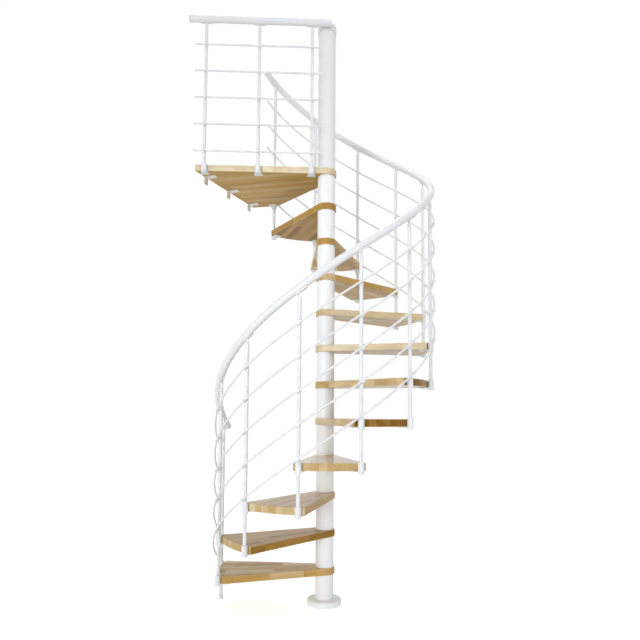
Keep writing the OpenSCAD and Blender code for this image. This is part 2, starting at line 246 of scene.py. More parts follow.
class Effects:
    """Node groups that the finishes share, each built once."""

    FINE_SHARE = 0.3
    FINE_SCALE = 5.3
    SPECK_SCALE = 0.35
    DUST_POWER = 3.0
    ROW_START = 7.3
    SWING = 0.24
    SWING_RATE = 2.1
    SWING_START = 1.3
    SCATTER = (17.0, 23.0, 31.0)
    STREAK_SCALE = (3.0, 42.0, 42.0)
    FLECK_SCALE = (110.0, 700.0, 700.0)
    RING_STRETCH = (0.6, 1.0, 1.0)
    RING_CENTRE = (0.0, 0.12, 0.2)
    RING_SCALE = 42.0
    RING_WOBBLE = 2.5

    def __init__(self) -> None:
        """Builds every group."""
        self.mottle = self._mottle()
        self.grit = self._grit()
        self.settled = self._settled()
        self.staves = self._staves()
        self.grain = self._grain()

    def _mottle(self) -> NodeTree:
        """Makes slow cloudy changes of tone over a surface.

        Returns:
            The group.
        """
        graph, given, result = new_group("Mottle", ("Place", "Scale"), ("Cloud",))
        place = graph.vector_math("MULTIPLY", given["Place"], given["Scale"])
        wide = graph.noise(place, detail=3.0, roughness=0.6)
        fine = graph.noise(place, detail=2.0, roughness=0.5, scale=self.FINE_SCALE)
        cloud = graph.plus(graph.times(wide, 1.0 - self.FINE_SHARE), graph.times(fine, self.FINE_SHARE))
        graph.feed(result, {"Cloud": cloud})
        return graph.tree

    def _grit(self) -> NodeTree:
        """Makes the fine pebbled skin of a sprayed or plated coat.

        Returns:
            The group.
        """
        graph, given, result = new_group("Grit", ("Place", "Pebble Size"), ("Height", "Speck"))
        place = graph.vector_math("DIVIDE", given["Place"], given["Pebble Size"])
        skin = graph.noise(place, detail=2.0, roughness=0.45)
        speck = graph.add("TexVoronoi", {"Vector": place, "Scale": self.SPECK_SCALE}, feature="F1")
        graph.feed(result, {"Height": skin, "Speck": speck.outputs["Distance"]})
        return graph.tree

    def _settled(self) -> NodeTree:
        """Makes a mask of faces turned up, where fine dust settles in clouds.

        Returns:
            The group.
        """
        graph, given, result = new_group("Settled Dust", ("Cloud", "Amount"), ("Dust",))
        normal = graph.axes(graph.add("NewGeometry").outputs["Normal"])
        up = graph.math("POWER", graph.math("MAXIMUM", normal["Z"], 0.0), self.DUST_POWER)
        graph.feed(result, {"Dust": graph.times(graph.times(up, given["Cloud"]), given["Amount"])})
        return graph.tree

    def _staves(self) -> NodeTree:
        """Cuts wood into edge-glued staves of finger-jointed blocks.

        Returns:
            The group.
        """
        inputs = ("Place", "Stave Width", "Block Length", "Seam Width")
        graph, given, result = new_group("Staves", inputs, ("Tone", "Shift", "Seam"))
        place = graph.axes(given["Place"])
        across = graph.math("DIVIDE", place["Y"], given["Stave Width"])
        row = graph.math("FLOOR", across)
        row_draw = graph.add("TexWhiteNoise", {"W": row}, noise_dimensions="1D").outputs["Value"]
        start = graph.times(row_draw, self.ROW_START)
        along = graph.plus(graph.math("DIVIDE", place["X"], given["Block Length"]), start)
        phase = graph.plus(graph.times(along, self.SWING_RATE), graph.times(start, self.SWING_START))
        uneven = graph.plus(along, graph.times(graph.math("SINE", phase), self.SWING))
        block = graph.add("CombineXYZ", {"X": row, "Y": graph.math("FLOOR", uneven)}).outputs[0]
        draw = graph.add("TexWhiteNoise", {"Vector": block}, noise_dimensions="3D").outputs
        row_gap = graph.times(graph.math("PINGPONG", across, 0.5), given["Stave Width"])
        block_gap = graph.times(graph.math("PINGPONG", uneven, 0.5), given["Block Length"])
        near = graph.math("DIVIDE", graph.math("MINIMUM", row_gap, block_gap), given["Seam Width"])
        seam = graph.math("SUBTRACT", 1.0, graph.math("MINIMUM", near, 1.0))
        graph.feed(result, {"Tone": draw["Value"], "Shift": draw["Color"], "Seam": seam})
        return graph.tree

    def _grain(self) -> NodeTree:
        """Makes long grain streaks, short flecks and the rings of end grain.

        Returns:
            The group.
        """
        graph, given, result = new_group("Beech Grain", ("Place", "Shift"), ("Streak", "Fleck", "Rings"))
        scatter = graph.vector_math("MULTIPLY", given["Shift"], self.SCATTER)
        streak_place = graph.vector_math("MULTIPLY", given["Place"], self.STREAK_SCALE)
        streak = graph.noise(graph.vector_math("ADD", streak_place, scatter), detail=6.0, roughness=0.62)
        fleck_place = graph.vector_math("MULTIPLY", given["Place"], self.FLECK_SCALE)
        fleck = graph.noise(graph.vector_math("ADD", fleck_place, scatter), detail=2.0, roughness=0.5)
        ring_place = graph.vector_math("MULTIPLY", given["Place"], self.RING_STRETCH)
        centre = graph.vector_math("MULTIPLY", given["Shift"], self.RING_CENTRE)
        feeds = {
            "Vector": graph.vector_math("ADD", ring_place, centre),
            "Scale": self.RING_SCALE,
            "Distortion": self.RING_WOBBLE,
            "Detail": 2.0,
        }
        rings = graph.add("TexWave", feeds, wave_type="RINGS", rings_direction="X").outputs["Fac"]
        graph.feed(result, {"Streak": streak, "Fleck": fleck, "Rings": rings})
        return graph.tree


# Finishes


@dataclass(frozen=True)
class LacqueredBeech:
    """Beech staves in tones from amber to cream, under clear satin lacquer."""

    amber: Colour = (0.26, 0.13, 0.021)
    honey: Colour = (0.43, 0.245, 0.055)
    tan: Colour = (0.54, 0.345, 0.108)
    cream: Colour = (0.77, 0.68, 0.48)
    tone_stops: tuple[float, ...] = (0.0, 0.22, 0.6, 1.0)
    seam_tone: Colour = (0.22, 0.11, 0.035)
    seam_share: float = 0.3
    end_tint: Colour = (0.97, 0.95, 0.92)
    ring_shades: Span = (0.86, 1.06)
    fleck_shades: Span = (0.92, 1.06)
    eased_share: float = 0.28
    stave_width: float = 0.042
    block_length: float = 0.40
    seam_width: float = 0.0006
    cloud_scale: float = 6.0
    drift: float = 0.15
    streaks: float = 0.36
    roughness: Span = (0.36, 0.5)
    dust: float = 0.16
    lacquer: float = 1.0
    lacquer_index: float = 1.12
    lacquer_roughness: float = 0.12
    under_gloss: float = 0.05
    grain_depth: float = 0.0004
    grain_strength: float = 0.25
    fleck_height: float = 0.5

    def material(self, effects: Effects) -> Material:
        """Makes the material.

        Args:
            effects: The shared node groups.

        Returns:
            The finished material.
        """
        material, graph, shader = new_material("lacquered_beech")
        place = graph.attribute(WoodenStep.PLACE)["Vector"]
        staves = graph.group(
            effects.staves,
            Place=place,
            Stave_Width=self.stave_width,
            Block_Length=self.block_length,
            Seam_Width=self.seam_width,
        )
        grain = graph.group(effects.grain, Place=place, Shift=staves["Shift"])
        cloud = graph.group(effects.mottle, Place=place, Scale=self.cloud_scale)["Cloud"]
        dust = graph.group(effects.settled, Cloud=cloud, Amount=self.dust)["Dust"]
        body = self._body_colour(graph, staves, grain, cloud)
        rings = graph.stretch(grain["Rings"], *self.ring_shades)
        end_colour = graph.tint(graph.tint(body, self.end_tint), rings)
        colour = graph.blend(graph.attribute(WoodenStep.END_GRAIN)["Fac"], body, end_colour)
        eased = graph.times(graph.attribute(WoodenStep.EASED)["Fac"], self.eased_share)
        colour = graph.blend(eased, colour, self.cream)
        colour = graph.blend(graph.times(staves["Seam"], self.seam_share), colour, self.seam_tone)
        height = graph.plus(grain["Streak"], graph.times(grain["Fleck"], self.fleck_height))
        height = graph.math("SUBTRACT", height, staves["Seam"])
        feeds = {
            "Base Color": colour,
            "Roughness": graph.plus(graph.stretch(grain["Streak"], *self.roughness), dust),
            "Normal": graph.bump(height, self.grain_strength, self.grain_depth),
            "Specular IOR Level": self.under_gloss,
            "Coat Weight": self.lacquer,
            "Coat Roughness": self.lacquer_roughness,
            "Coat IOR": self.lacquer_index,
        }
        graph.feed(shader, feeds)
        return material

    def _body_colour(
        self, graph: Graph, staves: NodeOutputs, grain: NodeOutputs, cloud: NodeSocket
    ) -> NodeSocket:
        """Colours the long faces of the staves.

        Args:
            graph: The material's graph.
            staves: The stave pattern.
            grain: The grain pattern.
            cloud: Slow changes of tone.

        Returns:
            The colour's socket.
        """
        # The face tone holds painted light and shade as well as the wood's own tone
        level = graph.attribute(WoodenStep.TONE_AND_SHADE)["Fac"]
        spread = graph.attribute(WoodenStep.SPREAD)["Fac"]
        swing = graph.times(graph.stretch(staves["Tone"], -1.0, 1.0), spread)
        drift = graph.stretch(cloud, -self.drift, self.drift)
        ramp = graph.add("ValToRGB", {"Fac": graph.plus(graph.plus(level, swing), drift)})
        tones = (self.amber, self.honey, self.tan, self.cream)
        stops = ramp.color_ramp.elements
        while len(stops) < len(tones):
            stops.new(0.5)
        for stop, position, colour in zip(stops, self.tone_stops, tones):
            stop.position = position
            stop.color = (*colour, 1.0)
        streak = graph.stretch(grain["Streak"], 1.0 - self.streaks, 1.0 + self.streaks)
        fleck = graph.stretch(grain["Fleck"], *self.fleck_shades)
        return graph.tint(graph.tint(ramp.outputs["Color"], streak), fleck)


@dataclass(frozen=True)
class PowderCoat:
    """Satin white powder coat with a fine orange-peel skin."""

    name: str
    colour: Colour
    shade: Colour
    shade_share: float = 0.5
    cloud_scale: float = 9.0
    dust: float = 0.12
    roughness: Span = (0.36, 0.44)
    pebble_size: float = 0.004
    skin_depth: float = 0.00012
    skin_strength: float = 0.05

    def material(self, effects: Effects) -> Material:
        """Makes the material.

        Args:
            effects: The shared node groups.

        Returns:
            The finished material.
        """
        material, graph, shader = new_material(self.name)
        place = graph.object_place()
        cloud = graph.group(effects.mottle, Place=place, Scale=self.cloud_scale)["Cloud"]
        skin = graph.group(effects.grit, Place=place, Pebble_Size=self.pebble_size)["Height"]
        dust = graph.group(effects.settled, Cloud=cloud, Amount=self.dust)["Dust"]
        feeds = {
            "Base Color": graph.blend(graph.times(cloud, self.shade_share), self.colour, self.shade),
            "Roughness": graph.plus(graph.stretch(skin, *self.roughness), dust),
            "Normal": graph.bump(skin, self.skin_strength, self.skin_depth),
        }
        graph.feed(shader, feeds)
        return material


@dataclass(frozen=True)
class PlatedSteel:
    """Plated or blackened steel with a fine crystalline bloom."""

    name: str
    bright: Colour
    dull: Colour
    metallic: float
    bloom: float = 0.6
    cloud_scale: float = 40.0
    roughness: Span = (0.28, 0.5)
    crystal_size: float = 0.004
    crystal_depth: float = 0.0001
    crystal_strength: float = 0.15

    def material(self, effects: Effects) -> Material:
        """Makes the material.

        Args:
            effects: The shared node groups.

        Returns:
            The finished material.
        """
        material, graph, shader = new_material(self.name)
        place = graph.object_place()
        cloud = graph.group(effects.mottle, Place=place, Scale=self.cloud_scale)["Cloud"]
        grit = graph.group(effects.grit, Place=place, Pebble_Size=self.crystal_size)
        bloom = graph.times(graph.plus(cloud, grit["Speck"]), self.bloom)
        feeds = {
            "Base Color": graph.blend(bloom, self.bright, self.dull),
            "Roughness": graph.stretch(cloud, *self.roughness),
            "Metallic": self.metallic,
            "Normal": graph.bump(grit["Height"], self.crystal_strength, self.crystal_depth),
        }
        graph.feed(shader, feeds)
        return material


# One white powder coat in two copies: the column's is painted lighter, as painted light where the treads
# shade the column and its base
RAIL_COAT = PowderCoat("rail_powder_coat", (0.82, 0.84, 0.865), (0.77, 0.79, 0.82))
COLUMN_COAT_PAINTED_LIGHTER = PowderCoat("column_coat_painted_lighter", (0.90, 0.925, 0.95), (0.85, 0.875, 0.90))
ZINC_PLATE = PlatedSteel("zinc_plate", (0.92, 0.90, 0.85), (0.78, 0.76, 0.71), 0.4)
BLACK_STEEL = PlatedSteel("black_steel", (0.035, 0.035, 0.037), (0.07, 0.07, 0.072), 0.5)


# Modelling helpers


def moved(x: float, y: float, z: float) -> Matrix:
    """Returns a move."""
    return Matrix.Translation((x, y, z))


def turned(degrees: float, axis: str = "Z") -> Matrix:
    """Returns a turn round an axis."""
    return Matrix.Rotation(math.radians(degrees), 4, axis)


DOWN = turned(180.0, "X")
OUT = turned(90.0, "Y")


def deselect() -> None:
    """Deselects everything."""
    bpy.ops.object.select_all(action="DESELECT")


def pick(piece: Object) -> None:
    """Makes one object the only selected and the active one.

    Args:
        piece: The object.
    """
    deselect()
    piece.select_set(True)
    bpy.context.view_layer.objects.active = piece


def take_new(name: str) -> Object:
    """Names the object that an operator has just added and puts its place into its mesh.

    Args:
        name: Its new name.

    Returns:
        The object.
    """
    piece = bpy.context.active_object
    piece.name = name
    piece.data.name = name
    bpy.ops.object.transform_apply(location=True, rotation=True, scale=True)
    return piece


def cylinder(name: str, sides: int, radius: float, depth: float, top: float) -> Object:
    """Adds an upright cylinder round the Z axis.

    Args:
        name: Its name.
        sides: Its number of sides.
        radius: Its radius.
        depth: Its height.
        top: Where its top is.

    Returns:
        The cylinder, active and selected.
    """
    deselect()
    middle = (0.0, 0.0, top - depth / 2)
    bpy.ops.mesh.primitive_cylinder_add(vertices=sides, radius=radius, depth=depth, location=middle)
    return take_new(name)


def apply_modifier(piece: Object, kind: str, **settings: object) -> None:
    """Adds a modifier to the active piece and applies it.

    Args:
        piece: The active piece.
        kind: The modifier's type.
        settings: Its properties.
    """
    bpy.ops.object.modifier_add(type=kind)
    modifier = piece.modifiers[-1]
    for name, value in settings.items():
        setattr(modifier, name, value)
    bpy.ops.object.modifier_apply(modifier=modifier.name)


@contextmanager
def editing(piece: Object, part: Part, wanted: Optional[Callable[..., bool]] = None) -> Iterator[None]:
    """Opens the active piece in edit mode, with what a test picks selected.

    Args:
        piece: The active piece.
        part: What is selected.
        wanted: The test of a corner or a face; without it nothing is selected.

    Yields:
        Nothing.
    """
    bpy.ops.object.mode_set(mode="EDIT")
    bpy.ops.mesh.select_mode(type=part.value)
    bpy.ops.mesh.select_all(action="DESELECT")
    if wanted:
        bpy.ops.object.mode_set(mode="OBJECT")
        for item in piece.data.polygons if part is Part.FACE else piece.data.vertices:
            item.select = wanted(item)
        bpy.ops.object.mode_set(mode="EDIT")
    yield
    bpy.ops.object.mode_set(mode="OBJECT")


def copy_node(node: Object, name: str) -> Object:
    """Copies a solid's mesh into a new piece with its corners merged.

    Args:
        node: The solid.
        name: The new piece's name.

    Returns:
        The new piece, active and selected.
    """
    pick(node)
    bpy.ops.object.duplicate()
    piece = bpy.context.active_object
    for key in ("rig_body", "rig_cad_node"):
        del piece[key]
    bpy.ops.object.parent_clear(type="CLEAR_KEEP_TRANSFORM")
    take_new(name)
    bpy.ops.mesh.customdata_custom_splitnormals_clear()
    with editing(piece, Part.CORNER):
        bpy.ops.mesh.select_all(action="SELECT")
        bpy.ops.mesh.remove_doubles(threshold=MERGE_GAP)
        bpy.ops.mesh.dissolve_limited(angle_limit=FLAT_TURN)
    return piece


def ease_edges(piece: Object, width: float, steps: int, sharp_turn: float) -> None:
    """Rounds the sharp edges of the active piece.

    Args:
        piece: The active piece.
        width: Width of the rounding.
        steps: Faces across the rounding.
        sharp_turn: Angle between faces from which an edge is sharp, in degrees.
    """
    sharp = math.radians(sharp_turn)
    with editing(piece, Part.EDGE):
        bpy.ops.mesh.edges_select_sharp(sharpness=sharp)
        bpy.ops.mesh.bevel(offset=width, segments=steps, profile=0.5, clamp_overlap=True)
    bpy.ops.object.shade_smooth_by_angle(angle=sharp)
    apply_modifier(piece, "WEIGHTED_NORMAL", keep_sharp=True)


def join(pieces: list[Object], name: str) -> Object:
    """Joins meshes into one piece.

    Args:
        pieces: The meshes.
        name: The joined piece's name.

    Returns:
        The joined piece.
    """
    pick(pieces[0])
    for piece in pieces:
        piece.select_set(True)
    bpy.ops.object.join()
    return take_new(name)


def repeat(pattern: Object, places: Iterable[Matrix], name: str) -> Object:
    """Copies a pattern to every place, each copy with its own mesh, and joins the copies.

    Args:
        pattern: The modelled piece, which is deleted.
        places: Where its copies go.
        name: The joined piece's name.

    Returns:
        The joined piece.
    """
    copies = []
    for place in places:
        copy = pattern.copy()
        copy.data = pattern.data.copy()
        copy.data.transform(place)
        bpy.context.scene.collection.objects.link(copy)
        copies.append(copy)
    bpy.data.objects.remove(pattern)
    return join(copies, name)


def finish_piece(piece: Object, finish: Material, slot: Slot, *nodes: str) -> None:
    """Dresses a piece, ties it to the stair and reports it.

    Args:
        piece: The piece.
        finish: Its material.
        slot: The record's slot for its finish; not used.
        nodes: Solids that it stands for.
    """
    piece.data.materials.clear()
    piece.data.materials.append(finish)
    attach(piece, BODY)
    if nodes:
        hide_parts(*nodes)
    LOG.info("%s: %d faces", piece.name, len(piece.data.polygons))


# The stair's plan


class Post(NamedTuple):
    """A baluster: its frame on the step, X out of the stair, and what it carries."""

    frame: Matrix
    slope: float
    rail: float
    rods: list[float]


@dataclass(frozen=True)
class StairPlan:
    """Driving sizes of the stair, as its solids have them, in metres and degrees."""

    riser: float = 0.220
    step_angle: float = 28.5
    first_angle: float = 172.5
    tread_count: int = 11
    tread_radius: float = 0.6185
    thickness: float = 0.040
    nose_over: float = 0.032
    edge_radius: float = 0.061
    baluster_seat: float = 0.0168
    baluster_radius: float = 0.010
    landing_reach: float = 0.810
    landing_front_turn: float = 1.1
    landing_back_turn: float = 44.0
    landing_back_run: float = 0.153
    landing_first: float = 0.096
    landing_pitch: float = 0.327
    landing_balusters: int = 3
    rail_radius: float = 0.0205
    rail_offset: float = 0.005
    rail_height: float = 0.883
    landing_rail_height: float = 0.914
    saddle_thickness: float = 0.003
    neck_height: float = 0.018
    rod_radius: float = 0.0055
    rod_offset: float = 0.020
    rod_count: int = 5
    rod_low: float = 0.020
    rod_top: float = 0.183
    landing_rod_low: float = 0.071
    landing_rod_top: float = 0.171
    holder_wrap: float = 0.008
    plate_thickness: float = 0.004

    @property
    def baluster_circle(self) -> float:
        """Radius of the circle that the balusters stand on."""
        return self.tread_radius + self.baluster_seat

    @property
    def landing_z(self) -> float:
        """Height of the landing's top."""
        return (self.tread_count + 1) * self.riser

    @property
    def rise_per_degree(self) -> float:
        """Climb of the handrail and the rods for a degree of turn."""
        return self.riser / self.step_angle

    @property
    def climb_rods(self) -> list[float]:
        """Heights of the helical rods over a nosing, lowest first."""
        return self.rod_heights(self.rod_low, self.rail_height - self.rod_top)

    @property
    def front_corner_angle(self) -> float:
        """Turn of the landing's front corner, in degrees."""
        nose = math.degrees(math.asin(self.nose_over / self.tread_radius))
        return self.baluster_angle(self.tread_count + 2) + nose + self.landing_front_turn

    @property
    def front_turn(self) -> float:
        """Direction of the landing's front edge, away from the column."""
        return self.front_corner_angle - math.degrees(math.asin(self.edge_radius / self.landing_reach))

    @property
    def wall_edge(self) -> tuple[Vector, Vector]:
        """Front and back corner of the landing's wall edge, in plan."""
        front = turned(self.front_corner_angle) @ Vector((self.landing_reach, 0.0, 0.0))
        return front, self.at_nosing() @ Vector((-self.baluster_seat, self.landing_back_run, 0.0))

    def baluster_angle(self, index: float) -> float:
        """Turn of a baluster, or of a place between two, in degrees."""
        return self.first_angle + index * self.step_angle

    def slope(self, radius: float) -> float:
        """Slope of the climb at a radius, in degrees."""
        return math.degrees(math.atan(self.rise_per_degree * math.degrees(1.0) / radius))

    def rod_heights(self, low: float, high: float) -> list[float]:
        """Returns evenly spaced heights, one for each rod."""
        return [low + (high - low) * j / (self.rod_count - 1) for j in range(self.rod_count)]

    def at_baluster(self, index: int) -> Matrix:
        """Frame at a baluster, with X out of the stair and Y up the stair."""
        return turned(self.baluster_angle(index)) @ moved(self.baluster_circle, 0.0, 0.0)

    def at_nosing(self) -> Matrix:
        """Frame of the clamp that ties the top baluster to the landing."""
        normal = self.baluster_angle(self.tread_count) + self.landing_back_turn - 90.0
        return moved(*self.at_baluster(self.tread_count).translation) @ turned(normal)

    def posts(self) -> list[Post]:
        """Lists the balusters.

        Returns:
            Those of the climb from the lowest one up, then those of the landing.
        """
        slope = self.slope(self.baluster_circle + self.rail_offset)
        posts = []
        for index in range(self.tread_count + 1):
            frame = moved(0.0, 0.0, (index + 1) * self.riser) @ self.at_baluster(index)
            posts.append(Post(frame, slope, self.rail_height, self.climb_rods))
        rods = self.rod_heights(self.landing_rod_low, self.landing_rail_height - self.landing_rod_top)
        for number in range(self.landing_balusters):
            along = self.landing_first + number * self.landing_pitch
            seat = moved(along, self.edge_radius + self.baluster_seat, self.landing_z)
            frame = turned(self.front_turn) @ seat @ turned(90.0)
            posts.append(Post(frame, 0.0, self.landing_rail_height, rods))
        return posts

    def clamps(self) -> list[Matrix]:
        """Lists the frames of all clamps, with zero at the top of the wood.

        Returns:
            The clamps at the treads' upper and lower corners, then those of the landing.
        """
        frames = [post.frame for post in self.posts()]
        top = self.tread_count
        lower = [moved(0.0, 0.0, -self.riser) @ frame for frame in frames[1 : top + 1]]
        nosing = moved(0.0, 0.0, self.landing_z) @ self.at_nosing()
        return frames[:top] + lower + [nosing] + frames[top + 1 :]

    def saddles(self) -> list[Matrix]:
        """Returns frames on the handrails' axes over the saddles, with Y along the rail."""
        out = self.rail_offset
        return [post.frame @ moved(out, 0.0, post.rail) @ turned(post.slope, "X") for post in self.posts()]

    def baluster_tops(self) -> list[Matrix]:
        """Lists frames on the tops of the balusters' tubes, under their pins.

        Returns:
            A frame for each baluster.
        """
        tops = []
        for post in self.posts():
            slope = math.radians(post.slope)
            drop = (self.rail_radius + self.saddle_thickness) / math.cos(slope)
            drop += self.baluster_radius * math.tan(slope) + self.neck_height
            tops.append(post.frame @ moved(0.0, 0.0, post.rail - drop))
        return tops

    def holders(self) -> list[Matrix]:
        """Returns frames on the outer ends of the rod holders, with X out of the stair."""
        reach = self.rod_offset + self.holder_wrap
        return [post.frame @ moved(reach, 0.0, height) for post in self.posts() for height in post.rods]


# Wooden steps


@dataclass(frozen=True)
class StaveToneAndShade:
    """Tones of one step's staves, from 0 for amber to 1 for cream, and the seed of their pattern; the tones
    of the flat faces, the edge and the arc are partly the wood's own and partly painted light and shade, by
    the way each face is turned to the lamps.
    """

    seed: int
    flat: float
    flat_spread: float
    edge: float
    arc: float
    side_spread: float


@dataclass
class WoodenStep:
    """A tread or the landing, with eased edges and staves along one direction."""

    PLACE = "stave_place"
    END_GRAIN = "end_grain"
    EASED = "eased_edge"
    TONE_AND_SHADE = "stave_tone_and_shade"
    SPREAD = "tone_spread"

    node: str
    stave_turn: float
    look: StaveToneAndShade
    ease: float = 0.003
    ease_steps: int = 3
    sharp_turn: float = 40.0
    end_limit: float = 0.6
    hub_limit: float = 0.2
    upright_limit: float = 0.5
    eased_limits: Span = (0.05, 0.98)
    pattern_reach: float = 40.0
    pattern_depth: float = 2.0

    def build(self, frame: dict, finish: Material) -> None:
        """Models and dresses the step.

        Args:
            frame: The loaded solids.
            finish: The wood's material.
        """
        piece = copy_node(frame["nodes"][self.node], self.node + "_wood")
        ease_edges(piece, self.ease, self.ease_steps, self.sharp_turn)
        self._lay_staves(piece.data)
        self._sort_faces(piece.data)
        finish_piece(piece, finish, Slot.WOOD, self.node)

    def _lay_staves(self, mesh: Mesh) -> None:
        """Writes where each corner lies in the stave pattern.

        Args:
            mesh: The step's mesh.
        """
        draw = random.Random(self.look.seed)
        reaches = (self.pattern_reach, self.pattern_reach, self.pattern_depth)
        offset = Vector([draw.uniform(0.0, reach) for reach in reaches])
        turn = turned(-self.stave_turn)
        place = mesh.attributes.new(self.PLACE, "FLOAT_VECTOR", "POINT")
        for vertex, item in zip(mesh.vertices, place.data):
            item.vector = turn @ vertex.co + offset

    def _sort_faces(self, mesh: Mesh) -> None:
        """Writes which faces are end grain or eased, and the tone of each, with painted light and shade in
        it.

        Args:
            mesh: The step's mesh.
        """
        look = self.look
        along = turned(self.stave_turn) @ Vector((1.0, 0.0, 0.0))
        low, high = self.eased_limits
        values = {name: [] for name in (self.END_GRAIN, self.EASED, self.TONE_AND_SHADE, self.SPREAD)}
        for face in mesh.polygons:
            tilt = abs(face.normal.z)
            upright = tilt < self.upright_limit
            is_end = abs(face.normal.dot(along)) > self.end_limit
            on_arc = is_end and face.center.xy.length > self.hub_limit
            # The face tones hold painted light and shade by the way each face is turned, as well as the
            # wood's own tone
            side_tone_and_shade = look.arc if on_arc else look.edge
            values[self.END_GRAIN].append(float(is_end))
            values[self.EASED].append(float(low < tilt < high))
            values[self.TONE_AND_SHADE].append(side_tone_and_shade if upright else look.flat)
            values[self.SPREAD].append(look.side_spread if upright else look.flat_spread)
        for name, numbers in values.items():
            mesh.attributes.new(name, "FLOAT", "FACE").data.foreach_set("value", numbers)


# Handrail and rods


@dataclass
class HelixTube:
    """A round tube that climbs round the column at one height over the nosings."""

    plan: StairPlan
    name: str
    path_radius: float
    tube_radius: float
    height: float
    low_angle: float
    high_angle: float
    sides: int
    degrees_per_ring: float = 1.5
    fewest_rings: int = 2
    tip: float = 0.001
    ring_slack: float = 1.001

    def build(self) -> Object:
        """Sweeps a ring up the climb and closes its ends.

        Returns:
            The tube.
        """
        plan = self.plan
        run = self.high_angle - self.low_angle
        rise = run * plan.rise_per_degree
        low_z = plan.riser + self.height + (self.low_angle - plan.first_angle) * plan.rise_per_degree
        deselect()
        bpy.ops.mesh.primitive_circle_add(vertices=self.sides, radius=self.tube_radius)
        tilt = turned(plan.slope(self.path_radius) - 90.0, "X")
        place = turned(self.low_angle) @ moved(self.path_radius, 0.0, low_z)
        bpy.context.active_object.matrix_world = place @ tilt
        piece = take_new(self.name)
        rings = max(self.fewest_rings, round(run / self.degrees_per_ring))
        apply_modifier(
            piece,
            "SCREW",
            axis="Z",
            angle=math.radians(run),
            screw_offset=rise,
            steps=rings,
            render_steps=rings,
            use_smooth_shade=True,
        )
        for angle, height in ((self.low_angle, low_z), (self.high_angle, low_z + rise)):
            self._close(piece, turned(angle) @ Vector((self.path_radius, 0.0, height)))
        with editing(piece, Part.CORNER):
            bpy.ops.mesh.select_all(action="SELECT")
            bpy.ops.mesh.normals_make_consistent(inside=False)
        bpy.ops.object.shade_smooth_by_angle(angle=SMOOTH_TURN)
        return piece

    def _close(self, piece: Object, centre: Vector) -> None:
        """Closes one end and insets its face.

        Args:
            piece: The open tube.
            centre: The middle of that end.
        """
        reach = self.tube_radius * self.ring_slack
        with editing(piece, Part.CORNER, lambda corner: (corner.co - centre).length < reach):
            bpy.ops.mesh.edge_face_add()
            bpy.ops.mesh.inset(thickness=self.tip, depth=0.0)


@dataclass
class Balustrade:
    """The helical handrail with its joints and the five rods."""

    plan: StairPlan
    rail_out: float = 0.0004
    rail_sides: int = 32
    rail_overs: Span = (0.084, 0.072)
    rod_sides: int = 16
    rod_overs: Span = (0.026, 0.056)
    joint_lip: float = 0.0004
    joint_run: float = 0.007
    joint_spans: tuple[float, ...] = (1.62, 3.62, 5.62, 7.62, 9.62)

    def build(self, finish: Material) -> None:
        """Models and dresses the handrail, its joints and the rods.

        Args:
            finish: The paint's material.
        """
        plan = self.plan
        rail_path = plan.baluster_circle + plan.rail_offset + self.rail_out
        ends = self._ends(rail_path, self.rail_overs)
        rail = HelixTube(
            plan, "handrail_tube", rail_path, plan.rail_radius, plan.rail_height, *ends, self.rail_sides
        )
        finish_piece(rail.build(), finish, Slot.PAINT, "handrail")
        rod_path = plan.baluster_circle + plan.rod_offset
        ends = self._ends(rod_path, self.rod_overs)
        for number, height in enumerate(plan.climb_rods, start=1):
            rod = HelixTube(
                plan, f"rod_{number}_tube", rod_path, plan.rod_radius, height, *ends, self.rod_sides
            )
            finish_piece(rod.build(), finish, Slot.PAINT, f"rod_{number}")
        self._joints(rail_path, finish)

    def _ends(self, path: float, overs: Span) -> Span:
        """Returns the turns of a tube's ends, which run past the lowest and the top baluster."""
        low, high = (math.degrees(over / path) for over in overs)
        return self.plan.first_angle - low, self.plan.baluster_angle(self.plan.tread_count) + high

    def _joints(self, path: float, finish: Material) -> None:
        """Models the thin collars where lengths of the handrail meet.

        Args:
            path: Radius of the handrail's path.
            finish: The paint's material.
        """
        plan = self.plan
        radius = plan.rail_radius + self.joint_lip
        half_turn = math.degrees(self.joint_run / path) / 2
        collars = []
        for span in self.joint_spans:
            middle = plan.baluster_angle(span)
            ends = (middle - half_turn, middle + half_turn)
            collar = HelixTube(plan, "rail_joint", path, radius, plan.rail_height, *ends, self.rail_sides)
            collars.append(collar.build())
        finish_piece(join(collars, "rail_joints"), finish, Slot.PAINT)


# Painted and plated fittings


@dataclass
class EasedSolid:
    """A steel solid whose sharp edges are broken."""

    node: str
    ease: float
    ease_steps: int = 2
    sharp_turn: float = 38.0

    def build(self, frame: dict, finish: Material, slot: Slot) -> None:
        """Copies the solid, breaks its edges and dresses it.

        Args:
            frame: The loaded solids.
            finish: Its material.
            slot: The record's slot for that finish.
        """
        piece = copy_node(frame["nodes"][self.node], self.node + "_eased")
        ease_edges(piece, self.ease, self.ease_steps, self.sharp_turn)
        finish_piece(piece, finish, slot, self.node)


@dataclass
class BalusterPlugs:
    """Plugs that close the tops of the balusters' tubes, with a seam round each."""

    plan: StairPlan
    length: float = 0.027
    lip: float = 0.0005
    rim: float = 0.0018
    rim_steps: int = 3
    sides: int = 24

    def build(self, finish: Material) -> None:
        """Models one plug, copies it to every baluster and dresses the copies.

        Args:
            finish: The paint's material.
        """
        radius = self.plan.baluster_radius + self.lip
        pattern = cylinder("plug_pattern", self.sides, radius, self.length, self.lip)
        with editing(pattern, Part.FACE, lambda face: abs(face.normal.z) > FACING):
            bpy.ops.mesh.bevel(offset=self.rim, segments=self.rim_steps, profile=0.5)
        bpy.ops.object.shade_smooth_by_angle(angle=SMOOTH_TURN)
        finish_piece(repeat(pattern, self.plan.baluster_tops(), "baluster_plugs"), finish, Slot.PAINT)


# Fasteners


